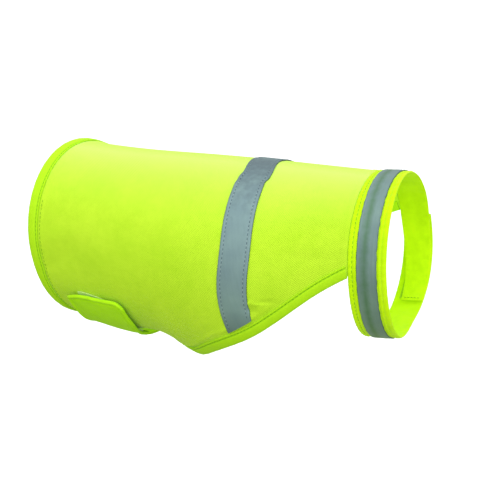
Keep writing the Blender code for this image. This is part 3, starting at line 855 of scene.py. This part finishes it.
# The dark colour below is painted shade for the needle holes between the tape's stitches.
NEEDLE_HOLE_SHADE = (0.055, 0.085, 0.120)
THREAD_PALE = (0.36, 0.46, 0.46)
TAPE_STITCH_PITCH = 0.0034
# The back tape's darker film over the spine and towards both ends is painted shade.
tape_beads = beaded_tape("tape_beads", TAPE_LIGHT, TAPE_DARK, TAPE_WIDTH, TAPE_PAINTED_SHADE, dark_line_across=True,
                         dark_line_at=0.0, dark_line_reach=0.065, dark_line_from=0.125)
needle_hole_shade = sewing_thread("needle_hole_shade", NEEDLE_HOLE_SHADE)
pale_thread = sewing_thread("pale_thread", THREAD_PALE)
back_tape = cut_cloth("back_tape", TAPE_COLUMNS, TAPE_LANES, lay_tape, flat_tape)
back_tape.data.materials.append(tape_beads)
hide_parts("body_reflective_tape")


def along_tape(t, v, height):
    """A line on the tape, at a share v of its width and a height over its face."""
    low, high = lay_tape(t, v, 0.0), lay_tape(t, v, 1.0)
    return high + (high - low) / np.linalg.norm(high - low, axis=-1, keepdims=True) * height[..., None]


# The first row is painted shade: short dark threads stand for the shade in the needle holes between the pale
# stitches.
TAPE_ROWS = (  # name, thread, stitch, thickness, distance of the first one from the end
    ("shade_dips", needle_hole_shade, 0.0021, 0.00050, 0.0030),
    ("threads", pale_thread, 0.0012, 0.00042, 0.0051),
)
tape_pieces = [back_tape]
seam_share = TAPE_SEAM_INSET / TAPE_WIDTH
for edge_name, v_seam in (("hem", seam_share), ("neck", 1.0 - seam_share)):
    for row_name, row_thread, stitch, thickness, lead in TAPE_ROWS:
        row = sew_line(f"back_tape_{row_name}_{edge_name}", along_tape, v_seam, 0.0, pitch=TAPE_STITCH_PITCH,
                       stitch=stitch, thread=thickness, lead=lead)
        row.data.materials.append(row_thread)
        tape_pieces.append(row)
for piece in tape_pieces:
    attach(piece, "root")
body_pieces += tape_pieces

# Belly tab: doubled knit at the end of the far wing, with a rolled free edge and a round front corner,
# pressed onto the near side over its hook-and-loop closure.
TAB_ROOT = (0.0220, 0.0800)
TAB_HEAD = (0.0295, 0.0915)
TAB_HEAD_ANGLE = 245.0
TAB_WALL = 0.0022
TAB_TOP_ANGLE = 257.5
TAB_CORNER = 0.0090
TAB_START_ANGLE = FAR_WING_END + 0.25
TAB_EDGE_REACH = 0.0014
TAB_ROLL = 0.00095
TAB_GROOVE = 0.00055
TAB_WAVE = 0.00010
TAB_COLUMNS = 70
TAB_LANES = 80


def tab_top_angle(part):
    """The free edge of the tab: it falls away at the hem side and has a round corner in front."""
    side = 2.0 * part - 1.0
    drop = 4.5 * np.maximum(-side, 0.0) ** 2.2 - 1.6 * np.maximum(side, 0.0)
    length = TAB_HEAD[1] - TAB_HEAD[0]
    corner = np.maximum(part * length - (length - TAB_CORNER), 0.0) / TAB_CORNER
    return TAB_TOP_ANGLE - drop - 6.5 * (1.0 - np.sqrt(np.maximum(1.0 - corner ** 2, 0.0)))


def lay_tab(u, v, z):
    """Points of the tab, thin at its edges with a roll and a sewn groove inside them."""
    part = np.sin(0.5 * math.pi * v) ** 0.9
    reach = u + 0.55 * u * (1.0 - u)
    top = tab_top_angle(part)
    turned = TAB_START_ANGLE + reach * (top - TAB_START_ANGLE)
    slant = ease(turned, TAB_START_ANGLE, TAB_HEAD_ANGLE)
    hem_side = TAB_ROOT[0] + (TAB_HEAD[0] - TAB_ROOT[0]) * slant
    front_side = TAB_ROOT[1] + (TAB_HEAD[1] - TAB_ROOT[1]) * slant
    x = hem_side + part * (front_side - hem_side)
    from_edge = np.minimum(np.minimum((top - turned) * METRES_PER_DEGREE, front_side - x), x - hem_side)
    rounding = 1.0 - np.clip(from_edge / TAB_EDGE_REACH, 0.0, 1.0)
    roundness = np.sqrt(np.maximum(1.0 - rounding ** 2, 0.0))
    roll = TAB_ROLL * hump(from_edge, 0.0016, 0.0012) - TAB_GROOVE * hump(from_edge, 0.0042, 0.0010)
    middle = 0.5 * CLOTH_WALL + TAB_WAVE * ripple(x + turned * METRES_PER_DEGREE, 0.015)
    return on_body(x, -turned, middle + (z - 0.5) * TAB_WALL * (0.12 + 0.88 * roundness) + z * roll)


TAB_LIGHT = (0.475, 0.88, 0.010)
TAB_DARK = (0.32, 0.67, 0.005)
tab_cloth = cut_cloth("tab_cloth", TAB_COLUMNS, TAB_LANES, lay_tab)
tab_cloth.data.materials.append(knit_cloth(
    "tab_knit", TAB_LIGHT, TAB_DARK, pitch=0.00120, depth=0.00020, glow=0.0, sheen=0.15, mottle=0.80))
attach(tab_cloth, "root")
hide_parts("belly_tab")

# Belly closure: a strip of loop tape sewn on the near wing, its brushed pile showing above the tab, and
# the hook tape sewn under the tab. The two stay pressed together.
PATCH_WALL = 0.0010
LOOP_PATCH = {"x": (0.0415, 0.0715), "angle": (102.1, 150.0), "rounding": 1.3, "nap": 0.00012,
              "height": CLOTH_WALL + GAP}
HOOK_PATCH = {"x": (0.0360, 0.0780), "angle": (-252.0, -218.0), "rounding": 0.0, "nap": 0.00006,
              "height": CLOTH_WALL + 2.0 * GAP + PATCH_WALL}


def lay_patch(spot):
    """The place function of a patch, with a small unevenness of its pile."""
    def place(u, v, z):
        corner = spot["rounding"] * (np.abs(2.0 * v - 1.0) ** 3.0 + 1.5 * v)
        angle = spot["angle"][0] + corner + u * (spot["angle"][1] - spot["angle"][0] - corner)
        x = spot["x"][0] + v * (spot["x"][1] - spot["x"][0])
        pile = ripple(x * 3.1 + angle * 0.011, 0.0047) * ripple(angle * METRES_PER_DEGREE, 0.0029)
        lift_off = spot["height"] + z * (PATCH_WALL + spot["nap"] * pile)
        return stand(form_point(x, angle) + outward_of(x, angle) * lift_off[..., None])

    return place


PILE_FINISH = {"Roughness": 0.9, "Specular IOR Level": 0.15, "Sheen Weight": 0.15, "Sheen Roughness": 0.5}


def pile_tape(name, light, dark, pitch, depth):
    """Loop pile or rows of hooks: small bright tufts with dark between them."""
    dye = Dye(name, light, PILE_FINISH)
    place = dye.flat_map()[0]
    tufts = dye.node("ShaderNodeTexVoronoi", {"Vector": place, "Scale": 1.0 / pitch}).outputs["Distance"]
    dye.colour(dye.between(tufts, light, dark))
    return dye.relief(dye.sum("SUBTRACT", 1.0, tufts), depth)


LOOP_LIGHT = (0.58, 0.80, 0.28)
LOOP_DARK = (0.42, 0.64, 0.13)
HOOK_LIGHT = (0.72, 0.82, 0.50)
HOOK_DARK = (0.45, 0.58, 0.22)
loop_pile = pile_tape("loop_pile", LOOP_LIGHT, LOOP_DARK, pitch=0.0009, depth=0.00025)
hook_rows = pile_tape("hook_rows", HOOK_LIGHT, HOOK_DARK, pitch=0.0013, depth=0.00030)
belly_loop = cut_cloth("belly_loop", 90, 60, lay_patch(LOOP_PATCH))
belly_hook = cut_cloth("belly_hook", 60, 50, lay_patch(HOOK_PATCH))
for piece, node_name, slot_name, finish in ((belly_loop, "belly_loop_patch", "loop_tape", loop_pile),
                                            (belly_hook, "belly_hook_patch", "hook_tape", hook_rows)):
    piece.data.materials.append(finish)
    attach(piece, "root")
    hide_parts(node_name)

# Collar band: knit folded double round the neck and made brighter by a painted glow, with pressed edges and a
# rolled double margin where it is sewn to the back. Its two ends lap on the far side.
COLLAR_WALL = 0.0014
COLLAR_SINK = 0.0002
COLLAR_INNER_END = -155.0
COLLAR_OUTER_END = 275.6
COLLAR_STEP_ANGLE = 24.0
COLLAR_INNER_DROP = 0.0019
COLLAR_OUTER_RISE = 0.0020
COLLAR_CONE = 0.0010
COLLAR_INNER_DRIFT = 0.0078
COLLAR_INNER_DRIFT_ANGLES = (85.0, 160.0)
THROAT_TUCK = 0.0040
THROAT_TUCK_ANGLE = 168.0
COLLAR_FULL_WIDTH = 0.0290
COLLAR_METRES_PER_DEGREE = 0.00113
COLLAR_PUCKER = 0.00042
COLLAR_END_REACH = 0.0012
COLLAR_SEAM_PLACE = 0.0033
COLLAR_SEAM_HEIGHT = 0.00104
COLLAR_SEAM_THREAD = 0.00050
BAND = (  # angle, width
    (-155.0, 0.0190), (-120.0, 0.0224), (-85.0, 0.0248), (-45.0, 0.0256), (-10.0, 0.0265), (35.0, 0.0285),
    (90.0, 0.0290), (145.0, 0.0285), (185.0, 0.0256), (220.0, 0.0262), (250.0, 0.0258), (276.0, 0.0252),
)
COLLAR_PROFILE_MM = (  # across from the back edge, height
    (0.00, 0.70), (0.12, 1.15), (0.55, 1.52), (1.30, 1.72), (2.20, 1.66), (2.90, 1.24), (3.30, 0.96),
    (3.70, 1.26), (4.50, 1.68), (5.60, 1.74), (6.30, 1.56), (6.80, 1.06), (7.40, 1.36), (11.0, 1.38),
    (14.5, 1.38), (18.0, 1.38), (21.6, 1.36), (22.2, 1.06), (22.7, 1.50), (23.7, 1.64), (24.5, 1.56),
    (25.0, 1.22), (25.5, 1.56), (26.4, 1.78), (27.4, 1.72), (28.2, 1.46), (28.8, 1.12), (29.0, 0.70),
    (28.8, 0.30), (28.1, 0.02), (26.5, -0.10), (22.0, 0.00), (14.5, 0.02), (7.0, 0.00), (3.3, 0.08),
    (1.4, -0.06), (0.40, 0.10), (0.10, 0.34),
)
collar_width = natural_spline(*zip(*BAND))


def on_collar(across, angle, height):
    """Points on the collar: across from its back edge, height over its inside."""
    seam_x = np.full_like(angle, BACK_LENGTH)
    point, outward = form_point(seam_x, angle), outward_of(seam_x, angle) * (0.0, 1.0, 1.0)
    outward = outward / np.linalg.norm(outward, axis=-1, keepdims=True)
    tuck = THROAT_TUCK * np.maximum(np.cos(np.radians(angle - THROAT_TUCK_ANGLE)), 0.0) ** 2
    lap_start = COLLAR_OUTER_END - 360.0
    inner = ease(-angle, -lap_start - COLLAR_STEP_ANGLE, -lap_start)
    outer = ease(angle, COLLAR_INNER_END + 360.0 - COLLAR_STEP_ANGLE, COLLAR_INNER_END + 360.0)
    over = COLLAR_OUTER_RISE * outer - COLLAR_INNER_DROP * inner - COLLAR_SINK
    over = over - COLLAR_CONE * across / collar_width(angle)
    drift = COLLAR_INNER_DRIFT * ease(-angle, *COLLAR_INNER_DRIFT_ANGLES)
    base = np.stack((BACK_LENGTH + GAP + across - tuck + drift, point[..., 1], point[..., 2]), axis=-1)
    return stand(base + outward * (height + over)[..., None])


def lay_collar(t, across, height):
    """Points of the band, puckered along both margins and pressed flat at its two ends."""
    angle = COLLAR_INNER_END + t * (COLLAR_OUTER_END - COLLAR_INNER_END)
    along, middle = angle * COLLAR_METRES_PER_DEGREE, COLLAR_WALL / 2.0
    margin = hump(across, 0.0255, 0.0030) + hump(across, 0.0015, 0.0020)
    pucker = COLLAR_PUCKER * margin * ripple(along + 0.2 * across, 0.0050) * np.sign(height - middle)
    end = np.minimum(t, 1.0 - t) * (COLLAR_OUTER_END - COLLAR_INNER_END) * COLLAR_METRES_PER_DEGREE
    flat_end = 0.25 + 0.75 * np.sqrt(1.0 - (1.0 - np.clip(end / COLLAR_END_REACH, 0.0, 1.0)) ** 2)
    across = across * collar_width(angle) / COLLAR_FULL_WIDTH
    return on_collar(across, angle, middle + (height + pucker - middle) * flat_end)


COLLAR_LIGHT = (0.47, 0.73, 0.004)
COLLAR_DARK = (0.32, 0.57, 0.001)
collar_profile = [(across / 1000.0, height / 1000.0) for across, height in COLLAR_PROFILE_MM]
collar_cloth = sweep_strip("collar_cloth", collar_profile, 360, lay_collar)
# The collar knit's glow is painted light that brightens the band.
collar_cloth.data.materials.append(knit_cloth(
    "collar_knit", COLLAR_LIGHT, COLLAR_DARK, pitch=0.00130, depth=0.00025, glow=0.32, sheen=0.30,
    mottle=1.10))
# Its inner faces get a copy with a stronger painted glow that lights their shade.
paint_inside_glow(collar_cloth, knit_cloth(
    "collar_inside_glow", COLLAR_LIGHT, COLLAR_DARK, pitch=0.00130, depth=0.00025, glow=0.46, sheen=0.30,
    mottle=1.40))
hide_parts("collar_band")
collar_seam = sew_line("collar_seam", lay_collar, COLLAR_SEAM_PLACE, COLLAR_SEAM_HEIGHT,
                       thread=COLLAR_SEAM_THREAD)
collar_seam.data.materials.append(green_thread_and_shade)


STRAP_SEAM_START = 0.0022
STRAP_SEAM_LENGTH = 0.0150
STRAP_SEAM_ANGLE = 1.9
STRAP_SEAM_HEIGHT = -0.00030


def along_strap_end(t, away, height):
    """A line across the inside of the band's inner end, some degrees away from its cut."""
    return on_collar(STRAP_SEAM_START + STRAP_SEAM_LENGTH * t, COLLAR_INNER_END + away, height)


strap_seam = sew_line("strap_seam", along_strap_end, STRAP_SEAM_ANGLE, STRAP_SEAM_HEIGHT,
                      pitch=0.0028, stitch=0.0020, lead=0.0003)
strap_seam.data.materials.append(green_thread_and_shade)
collar_pieces = [collar_cloth, collar_seam, strap_seam]
for piece in collar_pieces:
    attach(piece, "root")

# Reflective tape on the collar: 15 mm of the same grey tape, sewn along the middle of the band and a
# little wavy, because the band is bent round a tighter curve.
COLLAR_TAPE_WIDTH = 0.0150
COLLAR_TAPE_MIDDLE = 0.0145
COLLAR_TAPE_ANGLES = (-66.0, 262.0)
COLLAR_TAPE_TURN = COLLAR_TAPE_ANGLES[1] - COLLAR_TAPE_ANGLES[0]
COLLAR_TAPE_SEAM_INSET = 0.0016
COLLAR_TAPE_SEAM_DEPTH = 0.00018
COLLAR_TAPE_SEAM_REACH = 0.0008
COLLAR_TAPE_RIBS = 0.00016
COLLAR_TAPE_DIMPLES = 0.00014
COLLAR_TAPE_WANDER = 0.00022
# The collar tape's greener, darker colours carry painted green light reflected from the band round it.
COLLAR_TAPE_LIGHT = (0.142, 0.220, 0.194)
COLLAR_TAPE_DARK = (0.084, 0.133, 0.142)
COLLAR_TAPE_STREAK = (0.060, 0.130, 0.074)


def lay_collar_tape(u, v, z):
    """Points of the collar's tape, with ribs along its middle and dimples beside its seams."""
    angle = COLLAR_TAPE_ANGLES[0] + u * COLLAR_TAPE_TURN
    across = np.minimum(COLLAR_TAPE_MIDDLE, collar_width(angle) / 2.0) + COLLAR_TAPE_WIDTH * (v - 0.5)
    from_edge = COLLAR_TAPE_WIDTH * np.minimum(v, 1.0 - v)
    along = angle * COLLAR_METRES_PER_DEGREE
    ribs = ripple(v * 0.015 + 0.0012 * ripple(along, 0.060), 0.0062) * hump(v, 0.5, 0.34)
    dimples = ripple(along + 2.0 * v, 0.0064) * (1.0 - hump(v, 0.5, 0.30))
    waves = COLLAR_TAPE_RIBS * ribs + COLLAR_TAPE_DIMPLES * dimples
    across = across + COLLAR_TAPE_WANDER * ripple(along + 0.3 * v, 0.0085) * np.abs(2.0 * v - 1.0)
    sewn = -COLLAR_TAPE_SEAM_DEPTH * hump(from_edge, COLLAR_TAPE_SEAM_INSET, COLLAR_TAPE_SEAM_REACH)
    return on_collar(across, angle, COLLAR_WALL + GAP + z * (tape_wall(from_edge) + waves + sewn))


def flat_collar_tape(u, v):
    """The place on the flat tape, from one end and from the edge towards the hem."""
    return np.stack((u * COLLAR_TAPE_TURN * COLLAR_METRES_PER_DEGREE, v * COLLAR_TAPE_WIDTH), axis=-1)


collar_tape = cut_cloth("collar_tape", 240, 30, lay_collar_tape, flat_collar_tape)
# The collar tape is darker green along a line 6 mm in from its edge.
collar_tape.data.materials.append(beaded_tape(
    "collar_tape_beads", COLLAR_TAPE_LIGHT, COLLAR_TAPE_DARK, COLLAR_TAPE_WIDTH, COLLAR_TAPE_STREAK,
    dark_line_across=False, dark_line_at=0.0060, dark_line_reach=0.0046))
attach(collar_tape, "root")
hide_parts("collar_reflective_tape")
collar_pieces.append(collar_tape)

# Collar closure: loop tape outside the inner end and hook tape inside the outer end, pressed together
# between the two laps, where only their thin edges show.
COLLAR_PATCH_WALL = 0.0008
COLLAR_PATCH_WIDTH = 0.0160
LIME_PILE_LIGHT = (0.46, 0.76, 0.02)
LIME_PILE_DARK = (0.30, 0.55, 0.01)
lime_pile = pile_tape("lime_pile", LIME_PILE_LIGHT, LIME_PILE_DARK, pitch=0.0009, depth=0.00020)


def lay_collar_patch(span, low):
    """The place function of a strip between the laps of the collar."""
    def place(u, v, z):
        angle = span[0] + u * (span[1] - span[0])
        across = collar_width(angle) / 2.0 + COLLAR_PATCH_WIDTH * (v - 0.5)
        return on_collar(across, angle, low + z * COLLAR_PATCH_WALL)

    return place


COLLAR_LAYERS = (  # piece, node, slot, angles, height
    ("collar_loop", "collar_loop_patch", "loop_tape",
     (COLLAR_INNER_END + 3.0, COLLAR_OUTER_END - 361.0), COLLAR_WALL + GAP),
    ("collar_hook", "collar_hook_patch", "hook_tape",
     (COLLAR_INNER_END + 363.0, COLLAR_OUTER_END - 3.0), -GAP - COLLAR_PATCH_WALL),
)
for piece_name, node_name, slot_name, span, low in COLLAR_LAYERS:
    strip = cut_cloth(piece_name, 60, 16, lay_collar_patch(span, low))
    strip.data.materials.append(lime_pile)
    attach(strip, "root")
    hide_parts(node_name)
    collar_pieces.append(strip)
